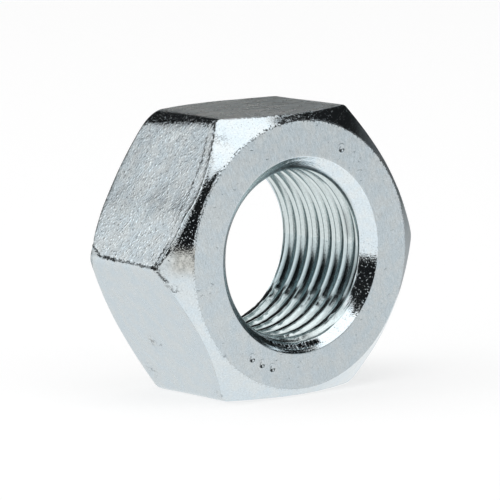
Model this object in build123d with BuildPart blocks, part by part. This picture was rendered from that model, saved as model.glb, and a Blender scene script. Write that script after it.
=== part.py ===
"""Threaded hexagon nut, standing on one of its flats with the bore along Y."""

import os
from math import ceil, cos, radians, sin, tan

from build123d import *
from build123d.topology import SkipClean

# Hexagon, in millimetres
across_flats = 30.0
nut_height = 16.0
corner_radius = 0.5
worn_corner_radius = 2.2

# Chamfered rims: the step from the flats to the rim circle, in millimetres,
# and the slope of the rim measured from the end face, in degrees
front_rim_step = 0.76
front_rim_slope = 44.0
back_rim_step = 0.45
back_rim_slope = 33.0

# Thread, in millimetres and degrees: the allowance widens the bore past the basic
# profile, and the groove crosses the top of the bore this far behind the nut's middle
thread_diameter = 20.0
thread_pitch = 2.0
thread_angle = 60.0
tapping_allowance = 0.165
groove_place = 0.17

# Basic profile of the thread: its depth as a share of the full triangle's height,
# and its flat root as a share of the pitch
basic_depth_share = 5 / 8
root_flat_share = 1 / 8

# Countersinks at both mouths, in millimetres and degrees
countersink_margin = 0.45
countersink_angle = 90.0

# The bore wall is drawn in this many arcs, so that each stretch of crest is short
bore_arcs = 4

# The groove's cutter stands out of the bore wall by this share of a crest's width
cutter_reach_share = 0.5

# Sizes that follow from those above
hexagon_half_angle = 30
half_height = nut_height / 2
flat_distance = across_flats / 2
corner_distance = flat_distance / cos(radians(hexagon_half_angle))
front_rim_radius = flat_distance - front_rim_step
back_rim_radius = flat_distance - back_rim_step
flank_slope = tan(radians(thread_angle / 2))
triangle_height = thread_pitch / (2 * flank_slope)
thread_depth = basic_depth_share * triangle_height - tapping_allowance / 2
thread_radius = thread_diameter / 2
bore_radius = thread_radius - thread_depth
countersink_radius = thread_radius + countersink_margin
root_half_width = root_flat_share * thread_pitch / 2
crest_width = thread_pitch - 2 * (root_half_width + thread_depth * flank_slope)
cutter_reach = crest_width * cutter_reach_share
cutter_depth = thread_depth + cutter_reach
mouth_half_width = root_half_width + cutter_depth * flank_slope
countersink_depth = (countersink_radius - bore_radius) / tan(radians(countersink_angle / 2))
arc_size = 360 / bore_arcs

# The bore's centre, and two planes through it: one seen from the front, one from above
nut_centre = (0, 0, flat_distance)
bore_axis = Axis(nut_centre, (0, 1, 0))
front_view = Plane(origin=nut_centre, x_dir=(1, 0, 0), z_dir=(0, -1, 0))
long_section = Plane(origin=nut_centre, x_dir=(1, 0, 0), z_dir=(0, 0, 1))
upper_left = (-sin(radians(hexagon_half_angle)), cos(radians(hexagon_half_angle)), 0)
towards_worn_corner = Axis((0, 0, 0), upper_left)

# The groove is cut in whole turns, and starts and ends outside the nut
turns_in_front = ceil((half_height + groove_place) / thread_pitch) + 1
turns_behind = ceil((half_height - groove_place) / thread_pitch) + 1
groove_turns = turns_in_front + turns_behind
groove_start = groove_place - turns_in_front * thread_pitch


def rim_drop(rim_radius, slope):
    """How far the chamfer has fallen from the end face at the hexagon's corners."""
    return (corner_distance - rim_radius) * tan(radians(slope))


with BuildPart() as hex_nut:
    # Forged hexagon, with one corner worn rounder than the rest
    with BuildSketch(front_view) as hexagon:
        RegularPolygon(radius=flat_distance, side_count=6, major_radius=False)
        corners = hexagon.vertices().sort_by(towards_worn_corner)
        fillet(corners[:-1], corner_radius)
        worn_corner = hexagon.vertices().sort_by(towards_worn_corner)[-1]
        fillet(worn_corner, worn_corner_radius)
    extrude(amount=half_height, both=True)

    # Turned outline: flat end faces and the conical rims that cut the corners
    front_drop = rim_drop(front_rim_radius, front_rim_slope)
    back_drop = rim_drop(back_rim_radius, back_rim_slope)
    with BuildSketch(long_section):
        with BuildLine():
            Polyline(
                (0, -half_height),
                (front_rim_radius, -half_height),
                (corner_distance, front_drop - half_height),
                (corner_distance, half_height - back_drop),
                (back_rim_radius, half_height),
                (0, half_height),
                close=True,
            )
        make_face()
    revolve(axis=bore_axis, mode=Mode.INTERSECT)

    with SkipClean():
        # Bore and both countersinks, turned in arcs so that each stretch of crest is short
        for number in range(bore_arcs):
            with BuildSketch(long_section.rotated((0, number * arc_size, 0))):
                with BuildLine():
                    Polyline(
                        (0, -half_height),
                        (countersink_radius, -half_height),
                        (bore_radius, countersink_depth - half_height),
                        (bore_radius, half_height - countersink_depth),
                        (countersink_radius, half_height),
                        (0, half_height),
                        close=True,
                    )
                make_face()
            revolve(axis=bore_axis, revolution_arc=arc_size, mode=Mode.SUBTRACT)

        # Groove of the right-hand thread, cut turn by turn from one mouth to the other
        for turn in range(groove_turns):
            turn_start = groove_start + turn * thread_pitch
            with BuildLine() as groove_path:
                Helix(
                    pitch=thread_pitch,
                    height=thread_pitch,
                    radius=thread_radius,
                    center=(0, turn_start, flat_distance),
                    direction=(0, 1, 0),
                )
            root_point = groove_path.line @ 0
            outwards = root_point - Vector(0, turn_start, flat_distance)
            with BuildSketch(Plane(root_point, x_dir=outwards, z_dir=groove_path.line % 0)):
                with BuildLine():
                    Polyline(
                        (0, -root_half_width),
                        (0, root_half_width),
                        (-cutter_depth, mouth_half_width),
                        (-cutter_depth, -mouth_half_width),
                        close=True,
                    )
                make_face()
            sweep(path=groove_path.line, is_frenet=True, mode=Mode.SUBTRACT)

hex_nut.part.label = "hex_nut"
os.makedirs("parts", exist_ok=True)
export_step(hex_nut.part, "parts/hex_nut.step")
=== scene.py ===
from itertools import product
from math import cos, pi, radians, sin, tan

import bmesh
import bpy
import numpy as np
from mathutils import Matrix, Vector


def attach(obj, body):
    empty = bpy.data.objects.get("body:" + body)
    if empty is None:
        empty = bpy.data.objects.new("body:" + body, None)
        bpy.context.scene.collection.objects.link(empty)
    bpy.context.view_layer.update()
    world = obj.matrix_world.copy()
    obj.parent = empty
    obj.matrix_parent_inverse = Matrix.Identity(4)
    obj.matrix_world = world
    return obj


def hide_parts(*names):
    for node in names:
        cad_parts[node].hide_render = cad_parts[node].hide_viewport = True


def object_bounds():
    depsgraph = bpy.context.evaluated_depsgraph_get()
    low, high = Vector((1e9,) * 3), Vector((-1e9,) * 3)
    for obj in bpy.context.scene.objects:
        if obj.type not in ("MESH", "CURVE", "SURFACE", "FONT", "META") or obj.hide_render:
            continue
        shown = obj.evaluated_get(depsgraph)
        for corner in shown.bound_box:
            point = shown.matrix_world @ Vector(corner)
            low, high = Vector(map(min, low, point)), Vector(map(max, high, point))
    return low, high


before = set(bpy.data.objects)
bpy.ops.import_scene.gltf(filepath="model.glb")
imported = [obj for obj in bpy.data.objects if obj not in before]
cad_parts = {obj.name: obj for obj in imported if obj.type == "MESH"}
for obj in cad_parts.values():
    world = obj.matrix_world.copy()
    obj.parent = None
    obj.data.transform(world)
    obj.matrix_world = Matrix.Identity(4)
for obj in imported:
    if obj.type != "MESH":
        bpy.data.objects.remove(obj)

cad_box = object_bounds()

# Angles run in degrees around the bore, from +X (0) over the top (90) to -X (180).
# The hexagon's corners are at whole multiples of 60. Lengths are in millimetres, apart from
# those of the studio, and become metres when the mesh is written.
MM = 0.001
FLAT_DISTANCE = 15.0
CORNER_DISTANCE = FLAT_DISTANCE / cos(radians(30))
HALF_HEIGHT = 8.0
MOUTH_RADIUS = 10.45
MOUTH_LIP = 0.35
PITCH = 2.0
ROOT_RADIUS = 10.0
BORE_RADIUS = 9.0
ROOT_HALF = 0.125
FLANK_SLOPE = 0.57735
ROOT_PLACE = 0.67

# Where each chamfer starts on its end face, and its slope from that face in degrees
FRONT_RIM_RADIUS, FRONT_RIM_SLOPE = 14.24, 44.0
BACK_RIM_RADIUS, BACK_RIM_SLOPE = 14.55, 33.0

# The front chamfer is this much flatter beside the corner at 0 degrees
CORNER_SLOPE_LOSS = 3.5

# The plated crests are a little wider than the cut ones, the groove fades in the mouths, and
# the thread's rows end this far inside the mouths' lips
CREST_WEAR = 0.1
RUN_OUT = 0.5
RUN_OUT_PLACE = (6.3, 7.0)
THREAD_MARGIN = 0.15

# How round each corner is at the front and at the back, from the corner at 0 degrees on
FRONT_CORNERS = np.array([0.9, 0.7, 1.0, 0.6, 0.9, 1.6])
BACK_CORNERS = np.array([1.0, 1.0, 3.2, 0.9, 1.2, 1.6])

# The fold beside the corner at 180 degrees: its angle half way back, how far it leans for
# each millimetre, and from where and how strongly it lifts towards the back
FOLD_MIDDLE, FOLD_LEAN = 178.9, 0.1
FOLD_LIFT_START, FOLD_LIFT = 4.0, 0.45

# The border between the dark bevel and the forged flat moves on by this many degrees over
# this stretch towards the back
BORDER_DRIFT, BORDER_DRIFT_PLACE = 3.0, (0.0, 7.5)

# Columns on each flat and at each corner, from the flat at 30 and the corner at 0 degrees on
FLAT_COLUMNS = [46, 90, 128, 90, 50, 46]
CORNER_COLUMNS = [8, 8, 26, 18, 10, 10]
CORNER_SPREAD = [1.9, 1.8, 6.3, 2.6, 2.2, 3.0]

# Rows of the outer skin: after each bend of the outline, and around the bend itself
STRETCH_ROWS = [2, 20, 12, 42, 6, 6, 2]
FLAT_CROWDING = 1.35
BEND_ROWS = [3, 3, 5, 4, 3, 3]
BEND_RADII = [0.12, 0.1, 0.25, 0.5, 0.35, 0.3]
MOUTH_CONE, FRONT_RING, FRONT_CHAMFER, FLATS, BACK_CHAMFER, BACK_RING, BACK_CONE = range(7)

# Rows of one turn of the thread, as shares of the pitch from the middle of the root
THREAD_ROWS = [
    0, 0.05, 0.085, 0.2, 0.31, 0.345, 0.375, 0.5, 0.625, 0.655, 0.69, 0.8, 0.915, 0.95,
]
THREAD_TURNS = 10
BORE_COLUMNS = 240

# Roughness of each stretch of the skin and how strongly it is speckled, then the same for
# the stretches that aren't listed
ROUGHNESS = {
    FRONT_RING: 0.26, FRONT_CHAMFER: 0.07, FLATS: 0.28, BACK_CHAMFER: 0.16, BACK_RING: 0.26,
}
SPECKLE = {FRONT_CHAMFER: 1.0, BACK_CHAMFER: 1.0, MOUTH_CONE: 1.0}
OTHER_ROUGHNESS, OTHER_SPECKLE = 0.08, 0.1

# Plain punch marks on the front ring, each by its angle and its distance from the axis
PUNCH_MARKS = [(236, 12.3), (243, 12.3), (250, 12.3), (62, 12.2)]
PUNCH_RADIUS, PUNCH_DEPTH = 0.42, 0.16

# Small dark stains, each by its middle and its reach
STAINS = [
    ((-12.2, 2.4, 6.0), 0.7),
    ((-12.0, 1.2, 5.7), 0.4),
    ((-10.0, 5.4, 2.3), 0.8),
    ((-9.2, -5.2, 0.9), 0.5),
    ((-10.6, -8.0, 5.5), 0.25),
]

# Pairs of colours that the plating, the thread and the stained chamfer drift between
PLATE_COLOURS = (0.63, 0.711, 0.757, 1), (0.672, 0.726, 0.745, 1)
THREAD_COLOURS = (0.64, 0.715, 0.72, 1), (0.575, 0.7, 0.735, 1)
STAIN_COLOURS = (0.37, 0.38, 0.36, 1), (0.64, 0.65, 0.62, 1)

# Cuts and cracks are this deep where they are at their darkest, and this much darker with
# their painted shade
CUT_DEPTH, CUT_DARKNESS = 0.12, 0.96

# The grain of the forged flat runs along this way, and its dots are longer that way
GRAIN_WAY = (0.5, -0.61, 0.866)
GRAIN_STRETCH = 1.35

# The studio, in metres, and the colours of its curtains and card
CURTAIN_DISTANCE = 1.2
FLOOR_REACH = 4.0
FLOOR_LEVEL = -0.00002
CARD_LEVEL = -0.00001
BLACK = (0.021, 0.022, 0.023, 1)
GREY_GREEN = (0.1, 0.15, 0.16, 1)
DARK_GREY = (0.24, 0.25, 0.255, 1)
WARM_GREY = (0.82, 0.815, 0.79, 1)
# The card is a painted shadow, paler near the nut
CARD_NEAR, CARD_FAR = (0.62, 0.64, 0.65, 1), (0.2, 0.22, 0.22, 1)
WHITE = (1, 1, 1, 1)
PAPER = (0.42, 0.42, 0.42, 1)
PAPER_GLOW = 0.684

# The camera, at the photograph's viewing angle: its direction and roll, its distance in
# metres, its focal length and the shift of its picture in pixels of a 500-pixel frame
AZIMUTH, ELEVATION, ROLL = radians(-38.14), radians(8.557), radians(-1.245)
CAMERA_DISTANCE = 0.555
FRAME_PIXELS = 500
FOCAL_PIXELS = 5210.9
SHIFT_PIXELS = (-4.498, -2.683)


def hashed(cells, seed):
    """A number from 0 to 1 for each cell of a grid, always the same for the same cell."""
    x, y, z = (cells[..., axis].astype(np.int64) for axis in range(3))
    value = (x * 73856093 ^ y * 19349663 ^ z * 83492791 ^ seed * 2654435761) & 0xFFFFFFFF
    value = ((value ^ (value >> 15)) * 2246822519) & 0xFFFFFFFF
    value = ((value ^ (value >> 13)) * 3266489917) & 0xFFFFFFFF
    return ((value ^ (value >> 16)) & 0xFFFFFF) / 0xFFFFFF


def noise(points, size, seed):
    """Smooth noise from -1 to 1 whose bumps are about the given size across."""
    place = points / size
    cell = np.floor(place)
    share = place - cell
    share = share * share * (3 - 2 * share)
    total = 0
    for corner in product((0, 1), repeat=3):
        weight = np.prod(np.where(corner, share, 1 - share), axis=-1)
        total = total + weight * hashed(cell + corner, seed)
    return total * 2 - 1


def bell(value, width):
    return np.exp(-((value / width) ** 2))


def step(value, low, high):
    """0 below low, 1 above high and smooth between them."""
    share = np.clip((value - low) / (high - low), 0, 1)
    return share * share * (3 - 2 * share)


def span(value, start, full, fading, end):
    """0 up to start, 1 from full to fading, and 0 again from end on."""
    return step(value, start, full) * (1 - step(value, fading, end))


def smooth_min(a, b, width):
    share = np.clip(0.5 + 0.5 * (b - a) / width, 0, 1)
    return b + (a - b) * share - width * share * (1 - share)


def smooth_max(a, b, width):
    return -smooth_min(-a, -b, width)


def hexagon_radius(angles, corners):
    """Distance from the bore's axis to the hexagon's side, with its corners rounded."""
    number = np.round(angles / 60).astype(int)
    offset = np.radians(angles - number * 60)
    radius = corners[number % 6]
    flat = FLAT_DISTANCE / np.cos(pi / 6 - np.abs(offset))
    centre = CORNER_DISTANCE - radius / sin(pi / 3)
    inside = np.maximum(radius ** 2 - (centre * np.sin(offset)) ** 2, 0)
    arc = centre * np.cos(offset) + np.sqrt(inside)
    straight = CORNER_DISTANCE / 2 - radius / np.tan(pi / 3)
    tangent = pi / 6 - np.arctan(straight / FLAT_DISTANCE)
    return np.where(np.abs(offset) < tangent, arc, flat)


def column_angles():
    """Angles of the outer skin's columns: even along each flat, and close at the corners."""
    angles = []
    for corner in range(6):
        spread = CORNER_SPREAD[corner]
        angles.extend(corner * 60 + np.linspace(-spread, spread, CORNER_COLUMNS[corner]))
        first = np.tan(np.radians(30 - spread))
        last = np.tan(np.radians(30 - CORNER_SPREAD[(corner + 1) % 6]))
        places = np.linspace(-first, last, FLAT_COLUMNS[corner] + 2)[1:-1]
        angles.extend(corner * 60 + 30 + np.degrees(np.arctan(places)))
    return np.array(sorted(angle % 360 for angle in angles))


def outline(angles):
    """The bends of the skin's outline at each angle, from the front mouth to the back mouth."""
    front = hexagon_radius(angles, FRONT_CORNERS) + 0.18 * bell(angles - 160, 7)
    back = hexagon_radius(angles, BACK_CORNERS)
    from_corner = (angles + 180) % 360 - 180
    front_slope = FRONT_RIM_SLOPE - CORNER_SLOPE_LOSS * bell(from_corner, 20)
    front_drop = (front - FRONT_RIM_RADIUS) * np.tan(np.radians(front_slope))
    back_drop = (back - BACK_RIM_RADIUS) * np.tan(radians(BACK_RIM_SLOPE))
    bends = [
        (MOUTH_RADIUS - MOUTH_LIP, MOUTH_LIP - HALF_HEIGHT),
        (MOUTH_RADIUS, -HALF_HEIGHT),
        (FRONT_RIM_RADIUS, -HALF_HEIGHT),
        (front, front_drop - HALF_HEIGHT),
        (back, HALF_HEIGHT - back_drop),
        (BACK_RIM_RADIUS, HALF_HEIGHT),
        (MOUTH_RADIUS, HALF_HEIGHT),
        (MOUTH_RADIUS - MOUTH_LIP, HALF_HEIGHT - MOUTH_LIP),
    ]
    return [np.stack([radius + 0 * angles, y + 0 * angles], axis=-1) for radius, y in bends]


def at_length_one(vectors):
    """The vectors at a length of 1, and the lengths that they had."""
    lengths = np.linalg.norm(vectors, axis=-1)
    return vectors / lengths[:, None], lengths


def skin_rows(knots):
    """Points along the outline, with every bend rounded, and the stretch each is on."""
    rows, stretches = [], []
    start = knots[0]
    for stretch in range(len(knots) - 1):
        end = bend_start = knots[stretch + 1]
        is_bend = stretch < len(BEND_ROWS)
        if is_bend:
            before, length_before = at_length_one(end - knots[stretch])
            after, length_after = at_length_one(knots[stretch + 2] - end)
            room = np.minimum(length_before, length_after)
            turn = np.arccos(np.clip(np.sum(before * after, axis=-1), -1, 1))
            cut = np.minimum(BEND_RADII[stretch] * np.tan(turn / 2), 0.45 * room)[:, None]
            bend_start, bend_end = end - cut * before, end + cut * after
        crowding = FLAT_CROWDING if stretch == FLATS else 1
        for share in np.linspace(0, 1, STRETCH_ROWS[stretch] + 1)[int(stretch > 0):]:
            rows.append(start + (bend_start - start) * share ** crowding)
            stretches.append(stretch)
        if is_bend:
            for share in np.linspace(0, 1, BEND_ROWS[stretch] + 1)[1:]:
                bent = bend_start * (1 - share) ** 2 + end * 2 * share * (1 - share)
                rows.append(bent + bend_end * share ** 2)
                stretches.append(stretch + (share > 0.5))
            start = bend_end
    return np.array(rows), np.array(stretches)


def grid_normals(points):
    """Normals of a grid of points that closes on itself around the bore."""
    around = np.roll(points, -1, axis=1) - np.roll(points, 1, axis=1)
    normals = np.cross(around, np.gradient(points, axis=0))
    return normals / np.maximum(np.linalg.norm(normals, axis=-1, keepdims=True), 1e-9)


def outer_skin():
    """Points of the plain outer skin. For each also its outward normal, its stretch of the
    outline, its angle, and how far behind the front edge of the flats it is."""
    angles = column_angles()
    knots = outline(angles)
    rows, stretches = skin_rows(knots)
    radius, y = rows[..., 0], rows[..., 1]
    theta = np.radians(angles)[None, :]
    points = np.stack([radius * np.cos(theta), y, radius * np.sin(theta)], axis=-1)
    zone = np.repeat(stretches[:, None], len(angles), axis=1)
    angle = np.repeat(angles[None, :], len(rows), axis=0)
    normals = grid_normals(points)
    radial = points * [1, 0, 1]
    if np.mean(np.sum(normals * radial, axis=-1)[zone == FLATS]) < 0:
        normals = -normals
    edge = y - knots[FLATS][None, :, 1]
    return points, normals, zone, angle, edge


def fold_angle(y):
    """Where the metal folded over beside the corner at 180 degrees, from front to back."""
    lifted = np.maximum(y - FOLD_LIFT_START, 0)
    return FOLD_MIDDLE - FOLD_LEAN * y - FOLD_LIFT * lifted ** 2


def forged_flat(points, angle):
    """1 on the upper left flat, from its ragged border with the bevel to the fold."""
    y = points[..., 1]
    border = 121.6 + BORDER_DRIFT * step(y, *BORDER_DRIFT_PLACE)
    border = border + 0.7 * noise(points * [0.2, 1, 1], 0.5, seed=5)
    return step(angle - border, -0.15, 0.5) * (1 - step(angle - fold_angle(y), -0.6, 0.0))


def forging_relief(points, zone, angle, edge, hammered, lip_with_painted_highlight):
    """How far forging and wear moved each point of the skin outwards."""
    y = points[..., 1]
    radius = np.hypot(points[..., 0], points[..., 2])
    on_flats = (zone == FLATS).astype(float)
    on_chamfer = (zone == FRONT_CHAMFER).astype(float)

    # Waves over the whole skin, weak on the turned rings and none in the mouths
    wavy = 0.03 * noise(points, 4.0, seed=1) + 0.012 * noise(points, 1.3, seed=2)
    calm = 0.3 + 0.7 * step(radius, 14.3, 15.3)
    calm = np.where((zone == MOUTH_CONE) | (zone == BACK_CONE), 0.0, calm)
    height = wavy * calm - 0.02
    height += hammered * 0.014 * noise(points, 0.9, seed=3)

    # Two swellings of the front chamfer
    height += on_chamfer * 0.03 * bell(radius - 15.2, 0.8) * bell(angle - 97, 14)
    height += on_chamfer * 0.03 * bell(radius - 14.72, 0.35) * bell(angle - 140, 8)

    # The flat bulges towards the corner at 180 degrees, and that corner is worn at the back
    height += on_flats * 0.1 * span(angle, 145, 168, 170, 178) * step(y, -3, 6)
    height -= on_flats * 0.25 * bell(angle - 180.5, 3.2) * step(y, 2, 8)

    # Metal folded over along that corner, with a groove beside it
    fold = on_flats * step(edge, 0.0, 0.4) * (0.55 + 0.45 * noise(points, 0.7, seed=7))
    across = angle - fold_angle(y) + 0.3 * noise(points * [1, 1, 0], 0.6, seed=8)
    height += fold * 0.13 * (bell(across - 0.45, 0.45) - bell(across + 0.35, 0.4))

    # A thin lip of metal along the edge between that flat and the chamfer
    return height + 0.06 * lip_with_painted_highlight * bell(edge - 0.1, 0.16)


def cone_painted_light(angle):
    """How much lighter or darker the countersinks are painted: lighter all round, with a
    painted highlight around 118 degrees and painted shade on the left.
    """
    return 0.12 + 0.35 * bell(angle - 118, 22) - 0.82 * span(angle, 146, 166, 236, 252)


def skin_tone_and_painted_light(zone, angle, edge, upper_left, top, lip_with_painted_highlight):
    """How light each point of the skin is beside the plain plating; most of it is painted light and
    shade.
    """
    on_flats = (zone == FLATS).astype(float)
    on_chamfer = (zone == FRONT_CHAMFER).astype(float)
    on_ring = (zone == FRONT_RING) | (zone == BACK_RING)
    # Painted shade on the lower left flat, and painted light on the forged flat, stronger towards
    # the corner at 180 degrees
    left_low = on_flats * span(angle, 179, 182, 238, 242)
    tone = 1 - 0.08 * left_low + on_flats * upper_left * (0.12 * step(angle, 135, 178) + 0.02)
    # Painted light on the left part of the top flat and painted shade on its right part
    tone += top * (0.33 * step(angle, 62, 108) - 0.13)
    # Painted shade on the rings, weaker on the left and stronger low on the right
    tone -= on_ring * (0.12 - 0.07 * bell(angle - 190, 50) + 0.035 * bell(angle - 290, 45))
    # A painted highlight along the lip
    tone += 0.3 * lip_with_painted_highlight * bell(edge - 0.1, 0.25)
    tone += (zone == MOUTH_CONE) * cone_painted_light(angle)
    return tone + 0.06 * on_chamfer * bell(angle - 205, 18)


def by_zone(zone, values, other):
    """The value that is listed for each point's stretch, or else the other one."""
    return np.select([zone == number for number in values], list(values.values()), other)


def dress_skin(points, normals, zone, angle, edge):
    """Moves the skin by its forging marks, and gives each point the finish that it has, with the
    painted light and shade of its tone.
    """
    radius = np.hypot(points[..., 0], points[..., 2])
    on_flats = (zone == FLATS).astype(float)

    # The forged flat, the dark bevel above it, the brushed top and the lip along the edge, which
    # also gets a painted highlight
    upper_left = forged_flat(points, angle)
    ragged = step(edge + 0.12 * noise(points, 0.5, seed=6), 0.05, 0.3)
    hammered = on_flats * upper_left * ragged
    bevel = on_flats * step(angle, 114.5, 116.5) * (1 - upper_left) * (1 - step(angle, 126, 130))
    top = on_flats * span(angle, 61, 63, 117.4, 118.2)
    lip_with_painted_highlight = on_flats * span(angle, 136, 146, 178, 180)
    lip_with_painted_highlight = lip_with_painted_highlight * step(noise(points, 0.4, seed=13), -0.5, 0.4)

    stain = (zone == FRONT_CHAMFER) * span(angle, 169, 172, 178, 185)
    speckle = by_zone(zone, SPECKLE, OTHER_SPECKLE)
    rough = by_zone(zone, ROUGHNESS, OTHER_ROUGHNESS)
    finish_and_painted_light = {
        "rough": rough - 0.08 * hammered - 0.18 * bevel * step(angle, 117.0, 118.5),
        "grain": hammered * (0.8 + 0.35 * step(angle, 130, 172)),
        "speckle": np.maximum(speckle * (1 - hammered), bevel),
        "brushed": top,
        "chatter": 0 * rough,
        "stain": stain * (1 - 0.6 * step(radius, 15.3, 16.5)),
        "turned": 0 * rough,
        # The tone is mostly painted light and shade
        "tone": skin_tone_and_painted_light(zone, angle, edge, upper_left, top, lip_with_painted_highlight),
    }
    height = forging_relief(points, zone, angle, edge, hammered, lip_with_painted_highlight)
    return points + normals * height[..., None], finish_and_painted_light


def thread_radius(share, y):
    """Radius of the thread at a share of the pitch from the middle of the root."""
    away = np.abs(share - np.round(share)) * PITCH
    flank = ROOT_RADIUS - CREST_WEAR - (away - ROOT_HALF) / FLANK_SLOPE
    shallow = RUN_OUT * step(np.abs(y), *RUN_OUT_PLACE)
    return smooth_max(smooth_min(flank, ROOT_RADIUS, 0.09) - shallow, BORE_RADIUS, 0.045)


def bore_tone_and_painted_light(angle, y, radius, from_crest, crest, coned):
    """How light each point of the bore is beside the plain plating: painted light and shade."""
    threaded = 1 - coned

    # Painted shade in rims where the thread runs out into the front countersink
    upper_left = step(angle, 60, 105)
    upper_rim = span(angle, 15, 40, 160, 170)
    lower_rim = span(angle, 170, 200, 262, 272)
    rim = upper_rim * bell(radius - 9.05 - 0.4 * upper_left, 0.15 + 0.15 * upper_left)
    rim = rim + 0.5 * lower_rim * bell(radius - 9.3, 0.5)
    rim += (bell(angle - 282, 6) + bell(angle - 249, 6)) * bell(radius - 9.1, 0.2)
    darkness = 0.65 + 0.35 * upper_left * upper_rim
    tone = 1 + cone_painted_light(angle) * coned - darkness * rim * step(-y, 6.0, 6.5)

    # Low on the right the crests get painted highlights, with painted dark reflections on the metal
    # beside them
    tone += threaded * 0.2 * crest * bell(angle - 338, 14)
    tone -= threaded * 0.5 * bell(angle - 338, 17) * step(-y, 4.8, 5.4)
    tone -= threaded * 0.25 * (1 - crest) * bell(angle - 338, 16)
    tone -= threaded * 0.72 * bell(from_crest + 0.24, 0.26) * bell(angle - 336, 17)

    # Painted shade on one flank on the right
    flank = bell(from_crest + 0.33, 0.2) * bell(y + 4.4, 0.9)
    return tone - 0.45 * flank * span(angle, 1, 7, 18, 30)


def bore_skin():
    """The threaded bore as rows that follow the helix, cut off inside the mouths."""
    turns = np.repeat(np.arange(THREAD_TURNS), len(THREAD_ROWS))
    shares = turns + np.tile(THREAD_ROWS, THREAD_TURNS)
    angles = 360 * np.arange(BORE_COLUMNS) / BORE_COLUMNS
    first_root = ROOT_PLACE - PITCH * THREAD_TURNS / 2
    limit = HALF_HEIGHT - MOUTH_LIP - THREAD_MARGIN
    helix_y = first_root + PITCH * (shares[:, None] - angles[None, :] / 360)
    y = np.clip(helix_y, -limit, limit)
    share = np.repeat(shares[:, None], BORE_COLUMNS, axis=1) + (y - helix_y) / PITCH
    angle = np.repeat(angles[None, :], len(shares), axis=0)
    theta = np.radians(angle)
    wall = np.stack([BORE_RADIUS * np.cos(theta), y, BORE_RADIUS * np.sin(theta)], axis=-1)

    # The crests are uneven, and their flanks are torn low in the bore
    from_crest = (share - np.floor(share) - 0.5) * PITCH
    crest = bell(from_crest, 0.42)
    torn = 0.04 * noise(wall, 0.35, seed=12) * bell(np.abs(from_crest) - 0.35, 0.2)
    radius = thread_radius(share + torn * span(angle, 250, 262, 320, 335), y)
    radius = radius + 0.01 * crest * noise(wall, 1.0, seed=11)

    # The countersinks cut the thread away in both mouths
    cone = MOUTH_RADIUS - (HALF_HEIGHT - np.abs(y))
    coned = step(cone - radius, -0.02, 0.05)
    radius = np.where(np.abs(helix_y) >= limit, cone, smooth_max(radius, cone, 0.05))
    points = np.stack([radius * np.cos(theta), y, radius * np.sin(theta)], axis=-1)
    first = np.sum(helix_y <= -limit, axis=0) - 1
    last = len(shares) - np.sum(helix_y >= limit, axis=0)

    lower_front = span(angle, 238, 244, 284, 287) * (y < 0) * step(radius, 9.55, 9.75)
    finish_and_painted_light = {
        "rough": 0.19 - 0.09 * crest - 0.11 * coned * (1 - crest),
        "grain": 0 * radius,
        "speckle": np.maximum(0.2, coned),
        "brushed": 0 * radius,
        "chatter": coned * lower_front,
        "stain": 0 * radius,
        "turned": 1 - coned,
        # The tone is painted light and shade
        "tone": bore_tone_and_painted_light(angle, y, radius, from_crest, crest, coned),
    }
    return points, finish_and_painted_light, first, last, angles


def ring_bridge(a, angles_a, b, angles_b):
    """Triangles between two rings of vertices whose angles both run from 0 to 360."""
    faces = []
    i = j = 0
    while i < len(a) or j < len(b):
        next_a = angles_a[i + 1] if i + 1 < len(a) else angles_a[0] + 360
        next_b = angles_b[j + 1] if j + 1 < len(b) else angles_b[0] + 360
        if j >= len(b) or (i < len(a) and next_a <= next_b):
            faces.append((a[i % len(a)], a[(i + 1) % len(a)], b[j % len(b)]))
            i += 1
        else:
            faces.append((b[j % len(b)], a[i % len(a)], b[(j + 1) % len(b)]))
            j += 1
    return faces


def skin_faces(index):
    """Squares between the rows and columns of the outer skin."""
    beside = np.roll(index, -1, axis=1)
    quads = np.stack([index[:-1], index[1:], beside[1:], beside[:-1]], axis=-1)
    return [tuple(quad) for quad in quads.reshape(-1, 4).tolist()]


def bore_faces(index):
    """Squares between the rows of the thread, which are one turn on where they come round.
    Those that a mouth cuts short become triangles, or nothing."""
    turn = len(THREAD_ROWS)
    beside = np.roll(index, -1, axis=1)
    beside[turn:, -1] = index[:-turn, 0]
    beside[:turn, -1] = index[0, 0]
    quads = np.stack([index[:-1], beside[:-1], beside[1:], index[1:]], axis=-1)
    faces = [tuple(dict.fromkeys(quad)) for quad in quads.reshape(-1, 4).tolist()]
    return [face for face in faces if len(face) > 2]


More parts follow.
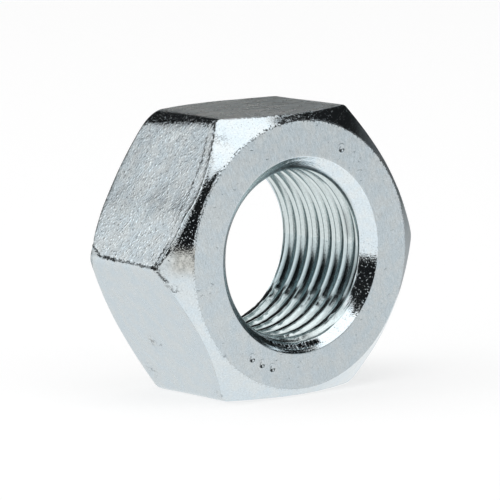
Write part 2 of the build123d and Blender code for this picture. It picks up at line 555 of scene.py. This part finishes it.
def nut_mesh():
    """One closed mesh: the outer skin, the threaded bore and the rings that join them."""
    skin, normals, zone, angle, edge = outer_skin()
    skin, skin_finish_and_painted_light = dress_skin(skin, normals, zone, angle, edge)
    bore, bore_finish_and_painted_light, first, last, bore_angles = bore_skin()
    skin_index = np.arange(zone.size).reshape(zone.shape)
    bore_index = skin_index.size + np.arange(bore[..., 0].size).reshape(bore.shape[:2])
    kept = np.clip(np.arange(len(bore))[:, None], first[None, :], last[None, :])
    bore_index = np.take_along_axis(bore_index, kept, axis=0)
    faces = skin_faces(skin_index) + bore_faces(bore_index)
    for row in (0, -1):
        skin_ring, bore_ring = skin_index[row].tolist(), bore_index[row].tolist()
        faces.extend(ring_bridge(skin_ring, angle[0], bore_ring, bore_angles))

    points = np.concatenate([skin.reshape(-1, 3), bore.reshape(-1, 3)])
    points[:, 2] += FLAT_DISTANCE
    low, high = (np.array(corner) / MM for corner in cad_box)
    points = np.clip(points, low, high) * MM

    mesh = bpy.data.meshes.new("nut_body")
    mesh.from_pydata(points.tolist(), [], faces)
    for name in skin_finish_and_painted_light:
        values = np.concatenate([skin_finish_and_painted_light[name].ravel(), bore_finish_and_painted_light[name].ravel()])
        attribute = mesh.attributes.new(name, "FLOAT", "POINT")
        attribute.data.foreach_set("value", np.asarray(values, np.float32))
    tidy = bmesh.new()
    tidy.from_mesh(mesh)
    loose = [vertex for vertex in tidy.verts if not vertex.link_faces]
    bmesh.ops.delete(tidy, geom=loose, context="VERTS")
    bmesh.ops.recalc_face_normals(tidy, faces=tidy.faces)
    for face in tidy.faces:
        face.smooth = True
    tidy.to_mesh(mesh)
    tidy.free()
    return mesh


class Nodes:
    """A material, with short calls for adding and joining its shader nodes."""

    def __init__(self, name):
        self.material = bpy.data.materials.new(name)
        self.material.use_nodes = True
        self.tree = self.material.node_tree
        self.tree.nodes.clear()

    def finished(self, shader):
        """The material, with the shader on its surface."""
        self.add("OutputMaterial", {"Surface": shader.outputs[0]})
        return self.material

    def add(self, kind, inputs=None, **settings):
        node = self.tree.nodes.new("ShaderNode" + kind)
        for name, value in settings.items():
            setattr(node, name, value)
        for name, value in (inputs or {}).items():
            self.put(node.inputs[name], value)
        return node

    def put(self, socket, value):
        if isinstance(value, bpy.types.NodeSocket):
            self.tree.links.new(value, socket)
        else:
            socket.default_value = value

    def math(self, operation, a, b=0.0, c=0.0):
        return self.add("Math", {0: a, 1: b, 2: c}, operation=operation).outputs[0]

    def times(self, *values):
        product = values[0]
        for value in values[1:]:
            product = self.math("MULTIPLY", product, value)
        return product

    def plus(self, *values):
        total = values[0]
        for value in values[1:]:
            total = self.math("ADD", total, value)
        return total

    def minus(self, a, b):
        return self.math("SUBTRACT", a, b)

    def value(self, name):
        return self.add("Attribute", attribute_name=name).outputs["Fac"]

    def noise(self, where, size, detail=1.0, roughness=0.5):
        """Noise from 0 to 1 whose bumps are about the given size in millimetres."""
        scale = 1 / (size * MM)
        inputs = {"Vector": where, "Scale": scale, "Detail": detail, "Roughness": roughness}
        return self.add("TexNoise", inputs).outputs["Fac"]

    def rise(self, value, low, high):
        """0 below low, 1 above high and smooth between them."""
        inputs = {"Value": value, "From Min": low, "From Max": high}
        return self.add("MapRange", inputs, interpolation_type="SMOOTHSTEP").outputs[0]

    def window(self, value, low, high, soft):
        """1 between low and high, falling to 0 over the soft distance outside them."""
        return self.times(self.rise(value, low - soft, low), self.rise(value, high + soft, high))

    def bell(self, value, width):
        share = self.math("DIVIDE", value, width)
        return self.math("EXPONENT", self.times(share, share, -1.0))

    def mix(self, share, a, b):
        """Colour a where the share is 0, and b where it is 1."""
        factor, colour_a, colour_b, result = 0, 6, 7, 2
        inputs = {factor: share, colour_a: a, colour_b: b}
        return self.add("Mix", inputs, data_type="RGBA").outputs[result]

    def scaled(self, colour, share):
        inputs = {0: colour, "Scale": share}
        return self.add("VectorMath", inputs, operation="SCALE").outputs[0]


class Plating(Nodes):
    """The nut's material, with the measures and noises of the shaded place that its marks
    share. They are in millimetres and degrees, apart from x and above, which are in metres."""

    def __init__(self, name):
        super().__init__(name)
        self.where = self.add("TexCoord").outputs["Object"]
        place = self.add("SeparateXYZ", {"Vector": self.where}).outputs
        self.x = place["X"]
        self.above = self.minus(place["Z"], FLAT_DISTANCE * MM)
        self.y = self.math("DIVIDE", place["Y"], MM)
        turn = self.math("DEGREES", self.math("ARCTAN2", self.above, self.x))
        self.angle = self.math("FLOORED_MODULO", self.plus(turn, 360.0), 360.0)
        square = self.plus(self.times(self.above, self.above), self.times(self.x, self.x))
        self.radius = self.math("DIVIDE", self.math("SQRT", square), MM)
        self.front = self.rise(self.y, -1.0, -1.5)
        self.upper = self.rise(self.above, -0.003, 0.003)

        # Distances outside the ring, behind the front chamfer's cone, inside the planes of
        # the flats, and from the edge between that cone and the flats
        self.from_ring = self.plus(self.radius, -FRONT_RIM_RADIUS)
        cone = self.times(self.from_ring, -tan(radians(FRONT_RIM_SLOPE)))
        self.behind = self.plus(self.y, HALF_HEIGHT, cone)
        from_middle = self.plus(self.math("FLOORED_MODULO", self.angle, 60.0), -30.0)
        share = self.math("COSINE", self.math("RADIANS", self.math("ABSOLUTE", from_middle)))
        self.inwards = self.minus(FLAT_DISTANCE, self.times(self.radius, share))
        inside = self.math("MAXIMUM", self.inwards, 0.0)
        self.from_edge = self.plus(self.math("ABSOLUTE", self.behind), inside)

        # On the ring, and well outside it, because the ring is behind the chamfer's cone too
        self.on_ring = self.rise(self.y, -7.7, -7.8)
        self.off_ring = self.rise(self.radius, 14.85, 14.95)

        self.slant = self.slanted_place()
        self.fine = self.noise(self.where, 0.15, 1.0, 0.6)
        self.clumps = self.noise(self.where, 0.3)
        self.jag = self.plus(self.noise(self.where, 0.5, 2.0, 0.6), -0.5)
        self.bristle = self.plus(self.noise(self.where, 0.22), -0.5)
        self.broken = self.rise(self.noise(self.where, 0.45), 0.4, 0.56)
        self.slashes = self.rise(self.noise(self.slant, 0.24), 0.48, 0.55)

    def slanted_place(self):
        """The shaded place measured along the forged flat's grain, which runs slantwise."""
        along = Vector(GRAIN_WAY).normalized()
        outward = Vector((-cos(radians(30)), 0, sin(radians(30))))
        outward = (outward - along * outward.dot(along)).normalized()
        axes = Matrix((along, outward.cross(along), outward)).transposed().to_euler()
        inputs = {"Vector": self.where, "Rotation": axes, "Scale": (GRAIN_STRETCH, 1.0, 1.0)}
        return self.add("Mapping", inputs, vector_type="TEXTURE").outputs[0]

    def distance(self, point):
        """Distance of the shaded place from a point in the nut's own frame."""
        inputs = {0: self.where, 1: Vector(point) * MM}
        apart = self.add("VectorMath", inputs, operation="DISTANCE").outputs["Value"]
        return self.math("DIVIDE", apart, MM)


def forged_grain(n):
    """Relief of the forged flat's grain, beads and small hollows, with painted highlights on the
    beads and painted shade in the hollows.
    """
    grain = n.value("grain")
    cells = n.add("TexVoronoi", {"Vector": n.slant, "Scale": 1 / (0.3 * MM)}).outputs
    beads = n.times(n.rise(cells["Distance"], 0.6, 0.15), n.rise(cells["Color"], 0.25, 0.75))
    lumps = n.rise(n.noise(n.slant, 0.14), 0.48, 0.7)
    dots = n.plus(n.times(beads, 0.7), n.times(lumps, 0.5))
    hollows = n.rise(n.clumps, 0.6, 0.78)
    relief = n.plus(n.times(dots, 0.017), n.times(hollows, -0.015))
    painted_sparkle_and_pit_shade = n.plus(n.times(n.plus(dots, -0.33), 0.56), n.times(hollows, -0.32))
    return n.times(grain, relief), n.times(grain, painted_sparkle_and_pit_shade)


def speckle_relief(n):
    """Fine speckle with a few higher bumps, and ragged edges of the front chamfer, towards
    the ring and towards the flats."""
    speckle = n.value("speckle")
    bumps = n.rise(n.noise(n.where, 0.14, 0.0), 0.72, 0.84)
    grit = n.plus(n.times(n.fine, 0.007), n.times(bumps, 0.012))
    ring_edge = n.times(n.bell(n.from_ring, 0.09), n.on_ring)
    ring_edge = n.times(ring_edge, n.plus(0.12, n.times(n.upper, 0.4)))
    patch = n.times(n.bell(n.plus(n.angle, -78.0), 16.0), speckle, 0.14)
    ragged = n.plus(n.bell(n.from_edge, 0.16), ring_edge, patch)
    return n.plus(n.times(speckle, grit), n.times(ragged, n.front, n.fine, 0.07))


def satin_relief(n):
    """A satin skin with small dents everywhere."""
    satin = n.noise(n.where, 0.13, 2.0)
    dents = n.rise(n.noise(n.where, 0.55), 0.7, 0.78)
    return n.plus(n.times(satin, 0.003), n.times(dents, -0.01))


def brushing(n):
    """Relief and tone of the brushing on the top flat."""
    brushed = n.value("brushed")
    stretch = n.add("Mapping", {"Vector": n.where, "Scale": (0.07, 1.0, 1.0)}).outputs[0]
    lines = n.noise(stretch, 0.2, 3.0, 0.65)
    streaks = n.plus(n.times(n.plus(lines, -0.5), 3.4), 0.14)
    return n.times(brushed, lines, 0.026), n.times(brushed, streaks)


def tap_lines(n):
    """Relief and tone of the lines that the tap left along the thread's flanks."""
    turns = n.plus(n.math("DIVIDE", n.y, PITCH), n.math("DIVIDE", n.angle, 360.0))
    helix = n.math("FRACT", n.plus(turns, THREAD_TURNS / 2 - ROOT_PLACE / PITCH))
    across = n.times(helix, PITCH * MM)
    strand = {"X": across, "Y": n.times(n.x, 0.03), "Z": n.times(n.above, 0.03)}
    tool = n.noise(n.add("CombineXYZ", strand).outputs[0], 0.14, 2.0, 0.6)
    from_crest = n.math("ABSOLUTE", n.plus(helix, -0.5))
    flank = n.times(n.value("turned"), n.rise(from_crest, 0.15, 0.2))
    depth = n.plus(0.022, n.times(n.upper, -0.008))
    return n.times(flank, tool, depth), n.times(flank, n.plus(tool, -0.5), 0.35)


def cutter_chatter(n):
    """Relief of the countersink's chatter, slanted facets, with painted shade over them and
    painted highlights on the steps between.
    """
    chatter = n.value("chatter")
    wander = n.times(n.noise(n.where, 0.9), 1.6)
    places = n.plus(n.times(n.angle, 0.3), n.times(n.radius, 0.8), wander)
    facets = n.math("FRACT", places)
    from_step = n.math("MINIMUM", facets, n.minus(1.0, facets))
    painted_glints = n.times(n.bell(from_step, 0.09), n.rise(n.angle, 258.0, 264.0), 3.0)
    return n.times(chatter, facets, -0.11), n.times(chatter, n.plus(-0.85, painted_glints))


def ring_scratches(n):
    """Tone of the scratches on the front ring."""
    inputs = {"Vector": n.where, "Rotation": (0.0, radians(70), 0.0), "Scale": (5.0, 1.0, 1.0)}
    rubbed = n.add("Mapping", inputs, vector_type="TEXTURE").outputs[0]
    strength = n.times(n.on_ring, n.plus(0.22, n.times(n.upper, 0.2)))
    return n.times(n.plus(n.noise(rubbed, 0.16, 2.0, 0.6), -0.5), strength)


def crease(n):
    """A crease beside the forged flat's front edge, which bends back at both ends, drawn as a
    line of painted shade.
    """
    upper_end = n.times(n.rise(n.angle, 137.0, 125.0), 0.8)
    lower_end = n.times(n.rise(n.angle, 168.0, 179.0), 0.6)
    place = n.plus(upper_end, lower_end, -5.48)
    across = n.plus(n.minus(n.y, place), n.times(n.jag, 0.6), n.times(n.bristle, 0.8))
    line = n.times(n.bell(across, 0.08), n.window(n.angle, 128.0, 178.5, 3.0))
    solid = n.times(n.rise(n.angle, 163.0, 154.0), n.plus(n.times(n.broken, 0.4), 0.4))
    strength = n.plus(n.rise(n.angle, 168.0, 173.0), solid, n.times(n.broken, 0.15))
    return n.times(line, n.rise(n.radius, 14.0, 14.5), strength)


def crack(n):
    """A crack in the flat below the corner at 180 degrees, which ends in a smudge. The crack's
    dark lines are painted shade in it.
    """
    place = n.math("MULTIPLY_ADD", n.angle, -0.152, 179.8 * 0.152 - 5.21)
    across = n.plus(n.minus(n.y, place), n.times(n.jag, 0.6), n.times(n.bristle, 0.4))
    away = n.math("ABSOLUTE", across)
    line = n.times(n.bell(away, 0.15), n.window(n.angle, 179.7, 184.4, 0.5))
    line = n.times(line, n.rise(n.noise(n.where, 0.2), 0.34, 0.46), 0.88)
    smudge = n.times(n.bell(away, 0.4), n.window(n.angle, 185.6, 188.0, 0.7))
    smudge = n.times(smudge, n.rise(n.noise(n.where, 0.35, 2.0, 0.6), 0.42, 0.6), 0.45)
    return n.times(n.plus(line, smudge), n.rise(n.radius, 14.4, 14.8))


def fold(n):
    """The painted shade along the fold beside the corner at 180 degrees, fainter in its middle."""
    lifted = n.math("MAXIMUM", n.plus(n.y, -FOLD_LIFT_START), 0.0)
    place = n.plus(FOLD_MIDDLE, n.times(n.y, -FOLD_LEAN), n.times(lifted, lifted, -FOLD_LIFT))
    across = n.plus(n.minus(n.angle, place), n.times(n.jag, 1.6), n.times(n.bristle, 1.8))
    line = n.times(n.bell(n.times(across, 0.3), 0.11), n.rise(n.radius, 15.5, 16.0))
    back = n.times(n.rise(n.y, 4.6, 5.4), 0.7)
    strength = n.plus(n.rise(n.broken, 0.0, 0.7), n.rise(n.y, -3.8, -4.4), back, 0.15)
    fainter = n.plus(1.0, n.times(n.window(n.y, -3.9, 1.0, 0.7), -0.3))
    return n.times(line, n.rise(n.y, -5.4, -4.9), strength, fainter)


def teeth(n):
    """Slanted teeth along the upper part of the forged flat's front edge, dark with painted shade.
    """
    beside = n.times(n.bell(n.plus(n.behind, -0.25), 0.38), n.rise(n.behind, 0.02, 0.08))
    return n.times(beside, n.off_ring, n.window(n.angle, 122.0, 140.0, 3.0), n.slashes, 0.9)


def notches(n):
    """Slanted dark notches in the bevel's lower border."""
    drift = n.times(n.rise(n.y, *BORDER_DRIFT_PLACE), -BORDER_DRIFT)
    below = n.window(n.plus(n.angle, -121.5, drift), -0.2, 1.2, 0.3)
    ends = n.times(n.rise(n.behind, 0.1, 0.3), n.off_ring, n.rise(n.y, 6.6, 6.2))
    return n.times(below, n.slashes, ends, 0.85)


def dashes(n):
    """Short dashes along the left part of the top flat's front edge, dark with painted shade."""
    line = n.times(n.bell(n.plus(n.from_edge, -0.03), 0.07), n.rise(n.clumps, 0.42, 0.55))
    return n.times(line, n.window(n.angle, 93.0, 118.0, 3.0), n.front, 0.75)


def smuts(n):
    """Dark smuts on the front chamfer below the top flat, beside the ring."""
    reach = n.minus(n.math("MULTIPLY_ADD", n.angle, -0.045, 109 * 0.045), n.from_ring)
    spots = n.rise(n.plus(n.noise(n.where, 0.24), n.times(reach, 0.3), -0.05), 0.52, 0.56)
    on_cone = n.times(n.rise(n.radius, 14.2, 14.26), n.rise(n.behind, 0.06, 0.02), n.front)
    return n.times(spots, n.window(n.angle, 84.0, 108.0, 2.0), on_cone, 0.9)


def gutter(n):
    """Painted shade in a gutter on the chamfer, along the edge of the forged flat near its corner.
    """
    beside = n.window(n.plus(n.inwards, n.times(n.jag, 0.3)), 0.02, 0.18, 0.08)
    line = n.times(beside, n.window(n.angle, 170.2, 179.6, 0.6), n.rise(n.clumps, 0.38, 0.46))
    return n.times(line, n.rise(n.behind, 0.12, 0.04))


def nicks(n):
    """Nicks in the ring's outer edge, dark with painted shade."""
    edge = n.times(n.bell(n.plus(n.from_ring, -0.05), 0.1), n.rise(n.y, -7.75, -7.85))
    return n.times(edge, n.rise(n.bristle, 0.04, 0.12), n.plus(0.2, n.times(n.upper, 0.5)))


def cut_shade_and_smears(n):
    """How dark the marks are, up to 1, and how much of that is cut into the metal. In the cuts
    the darkness is painted shade; the smuts and notches are dark smears.
    """
    cuts = n.plus(crease(n), crack(n), fold(n), teeth(n), dashes(n), gutter(n), nicks(n))
    smears = n.plus(smuts(n), notches(n))
    shade_and_smears = n.math("MINIMUM", n.plus(cuts, smears), 1.0)
    return shade_and_smears, n.minus(shade_and_smears, smears)


def small_stains(n):
    """A few small dark stains, broken up by noise."""
    spots = n.plus(*(n.bell(n.distance(place), reach) for place, reach in STAINS))
    return n.times(spots, n.rise(n.noise(n.where, 0.3, 3.0, 0.6), 0.5, 0.62))


def punch_relief(n):
    """Plain punch marks on the ring, each a round hollow with a low rim."""
    reliefs = []
    for angle, radius in PUNCH_MARKS:
        x, z = radius * cos(radians(angle)), radius * sin(radians(angle))
        away = n.distance((x, -HALF_HEIGHT, z + FLAT_DISTANCE))
        hollow = n.times(n.rise(away, PUNCH_RADIUS, 0.05), -PUNCH_DEPTH)
        rim = n.times(n.bell(n.plus(away, -PUNCH_RADIUS - 0.04), 0.08), 0.01)
        reliefs.extend([hollow, rim])
    return n.plus(*reliefs)


def plating_colour(n):
    """The plating's colour, which drifts slowly, differs in the thread and is stained on the
    chamfer beside the corner at 180 degrees."""
    drift = n.rise(n.noise(n.where, 1.7, 4.0, 0.65), 0.36, 0.64)
    cool = n.bell(n.plus(n.angle, -333.0), 24.0)
    mottled = n.rise(n.noise(n.where, 0.35, 3.0, 0.7), 0.32, 0.68)
    colour = n.mix(drift, *PLATE_COLOURS)
    colour = n.mix(n.value("turned"), colour, n.mix(cool, *THREAD_COLOURS))
    return n.mix(n.value("stain"), colour, n.mix(mottled, *STAIN_COLOURS))


def zinc_plate():
    """Bright zinc plating over forged steel."""
    n = Plating("zinc_plate")
    layers = [forged_grain(n), brushing(n), tap_lines(n), cutter_chatter(n)]
    shade_and_smears, cut = cut_shade_and_smears(n)
    reliefs = [relief for relief, _ in layers]
    reliefs += [speckle_relief(n), satin_relief(n), n.times(cut, -CUT_DEPTH), punch_relief(n)]
    bump = n.add("Bump", {"Strength": 1.0, "Distance": MM, "Height": n.plus(*reliefs)})

    # Among the tones, the grain's flecks, the chatter's glints and shade and most of the tone
    # attribute are painted light and shade
    tones = [tone for _, tone in layers]
    tones += [n.value("tone"), n.times(n.plus(n.fine, -0.5), 0.3), ring_scratches(n)]
    # Painted shade in the cuts, and the smears, darken the plating
    clear_of_shade_and_smears = n.plus(1.0, n.times(shade_and_smears, -CUT_DARKNESS))
    unstained = n.plus(1.0, n.times(small_stains(n), -0.5))
    shade = n.times(n.plus(*tones), clear_of_shade_and_smears, unstained)

    blotch = n.plus(n.noise(n.where, 0.8, 3.0, 0.6), -0.5)
    return n.finished(n.add("BsdfPrincipled", {
        "Base Color": n.scaled(plating_colour(n), shade),
        "Metallic": 1.0,
        "Roughness": n.math("MULTIPLY_ADD", blotch, 0.08, n.value("rough")),
        "Normal": bump.outputs[0],
    }))


def floor_material():
    """Pale paper that the camera sees a little brighter, and that the nut mirrors as white."""
    n = Nodes("pale_floor")
    path = n.add("LightPath").outputs
    paper = n.add("BsdfDiffuse", {"Color": PAPER})
    lift = n.times(path["Is Camera Ray"], PAPER_GLOW)
    glow = n.add("Emission", {"Color": WHITE, "Strength": lift})
    both = n.add("AddShader", {0: paper.outputs[0], 1: glow.outputs[0]})
    white = n.add("Emission", {"Color": WHITE, "Strength": 1.0})
    mirrored = n.math("MAXIMUM", path["Is Glossy Ray"], path["Is Transmission Ray"])
    shaders = {"Fac": mirrored, 1: both.outputs[0], 2: white.outputs[0]}
    return n.finished(n.add("MixShader", shaders))


def curtain_material(name, low_colour, high_colour, low=0.2, high=0.4, measure="Height"):
    """Matt cloth that turns from one colour to the other between two heights, or between two
    distances from the nut, in metres. Where a curtain is paler low down, that is painted light
    bounced from the floor."""
    n = Nodes(name)
    where = n.add("TexCoord").outputs["Object"]
    if measure == "Height":
        value = n.add("SeparateXYZ", {"Vector": where}).outputs["Z"]
    else:
        value = n.add("VectorMath", {"Vector": where}, operation="LENGTH").outputs["Value"]
    share = n.add("MapRange", {"Value": value, "From Min": low, "From Max": high})
    cloth = {"Color": n.mix(share.outputs[0], low_colour, high_colour)}
    return n.finished(n.add("BsdfDiffuse", cloth))


def stage_piece(name, points, faces, material):
    mesh = bpy.data.meshes.new(name)
    mesh.from_pydata(points, [], faces)
    mesh.materials.append(material)
    piece = bpy.data.objects.new(name, mesh)
    bpy.context.scene.collection.objects.link(piece)
    return piece


def curtain(name, tops, material, bottom=0):
    """A curtain around the set, unseen by the camera. Its top is given as pairs of the angle
    around the bore's middle and the angle above the floor, its bottom as a height in metres."""
    points, faces = [], []
    for angle, top in tops:
        x, y = CURTAIN_DISTANCE * cos(radians(angle)), CURTAIN_DISTANCE * sin(radians(angle))
        points.extend([(x, y, bottom), (x, y, CURTAIN_DISTANCE * tan(radians(top)))])
    for i in range(0, 2 * len(tops) - 2, 2):
        faces.append((i, i + 1, i + 3, i + 2))
    piece = stage_piece(name, points, faces, material)
    piece.visible_camera = False


def painted_shadow_card(name, corners, material):
    """A card that lies on the floor beside the nut, seen only in the nut's reflections: a painted
    shadow that stands in for shade on the floor.
    """
    points = [(x, y, CARD_LEVEL) for x, y in corners]
    piece = stage_piece(name, points, [tuple(range(len(points)))], material)
    piece.visible_camera = piece.visible_diffuse = piece.visible_shadow = False


def direction(around, above):
    """The way to a place that is at these angles around the nut and above the floor."""
    return Vector((cos(around) * cos(above), sin(around) * cos(above), sin(above)))


def soft_lamp(name, around, above, distance, size, strength):
    """A round lamp aimed at the nut. Its strength is how bright its face is beside a white
    of 1, its place is in degrees, and its distance and size are in metres."""
    lamp = bpy.data.lights.new(name, "AREA")
    lamp.shape = "DISK"
    lamp.size = size
    lamp.energy = strength * pi * (pi * size ** 2 / 4)
    lamp_object = bpy.data.objects.new(name, lamp)
    lamp_object.location = direction(radians(around), radians(above)) * distance
    lamp_object.rotation_euler = lamp_object.location.to_track_quat("Z", "Y").to_euler()
    lamp_object.visible_camera = False
    bpy.context.scene.collection.objects.link(lamp_object)


nut = bpy.data.objects.new("nut_body", nut_mesh())
bpy.context.scene.collection.objects.link(nut)
nut.data.materials.append(zinc_plate())
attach(nut, "root")
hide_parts("hex_nut")

# The studio: a pale floor, four curtains around it from black to warm grey, one card on the
# floor as a painted shadow that the nut mirrors, and two soft lamps under a white sky
square = [(-1, -1), (1, -1), (1, 1), (-1, 1)]
floor_corners = [(x * FLOOR_REACH, y * FLOOR_REACH, FLOOR_LEVEL) for x, y in square]
stage_piece("floor", floor_corners, [(0, 1, 2, 3)], floor_material())
curtain(
    "curtain_camera_side",
    [(-147, 38), (-140, 41), (-132, 43), (-126, 45), (-120, 48), (-112, 48), (-104, 32), (-99, 26)],
    curtain_material("curtain_black", BLACK, BLACK),
    bottom=0.045,
)
curtain(
    "curtain_front",
    [(-99, 26), (-85, 25), (-70, 24), (-55, 24), (-47, 26), (-38, 58)],
    curtain_material("curtain_grey_green", GREY_GREEN, GREY_GREEN),
)
# Paler low down: painted light from the floor
curtain(
    "curtain_right",
    [(-38, 60), (-28, 57), (-20, 54), (-10, 49), (0, 45), (15, 44), (35, 44)],
    curtain_material("curtain_dark", DARK_GREY, BLACK, low=0.2, high=0.46),
)
# Paler low down: painted light from the floor
curtain(
    "curtain_back",
    [(35, 44), (50, 44), (65, 44), (80, 44), (95, 44), (112, 44)],
    curtain_material("curtain_grey", WARM_GREY, BLACK, low=0.22, high=0.32),
)
painted_shadow_card(
    "painted_shadow_right",
    [(0.05, 0.01), (0.5, 0.1), (1.2, 0.25), (0.5, 1.1), (0.1, 0.25), (0.02, 0.05)],
    curtain_material("painted_shadow_grey", CARD_NEAR, CARD_FAR, low=0.05, high=0.3, measure="Distance"),
)
soft_lamp("soft_lamp", around=-90, above=65, distance=1.25, size=1.0, strength=0.35)
soft_lamp("side_lamp", around=155, above=43, distance=1.3, size=0.8, strength=0.6)

world = bpy.data.worlds.new("studio")
bpy.context.scene.world = world
world.use_nodes = True
world.node_tree.nodes["Background"].inputs["Color"].default_value = WHITE
world.node_tree.nodes["Background"].inputs["Strength"].default_value = 1.0

camera = bpy.data.cameras.new("camera")
camera.sensor_width = 36
camera.lens = FOCAL_PIXELS / FRAME_PIXELS * camera.sensor_width
camera.shift_x, camera.shift_y = (shift / FRAME_PIXELS for shift in SHIFT_PIXELS)
camera.clip_start = 0.01
middle = Vector((0, 0, FLAT_DISTANCE * MM))
back = direction(AZIMUTH - pi / 2, ELEVATION)
level_right = Vector((cos(AZIMUTH), sin(AZIMUTH), 0))
right = cos(ROLL) * level_right + sin(ROLL) * back.cross(level_right)
axes = Matrix((right, back.cross(right), back)).transposed().to_4x4()
camera_object = bpy.data.objects.new("camera", camera)
camera_object.matrix_world = Matrix.Translation(middle + back * CAMERA_DISTANCE) @ axes
bpy.context.scene.collection.objects.link(camera_object)
bpy.context.scene.camera = camera_object

bpy.context.scene.view_settings.view_transform = "Standard"
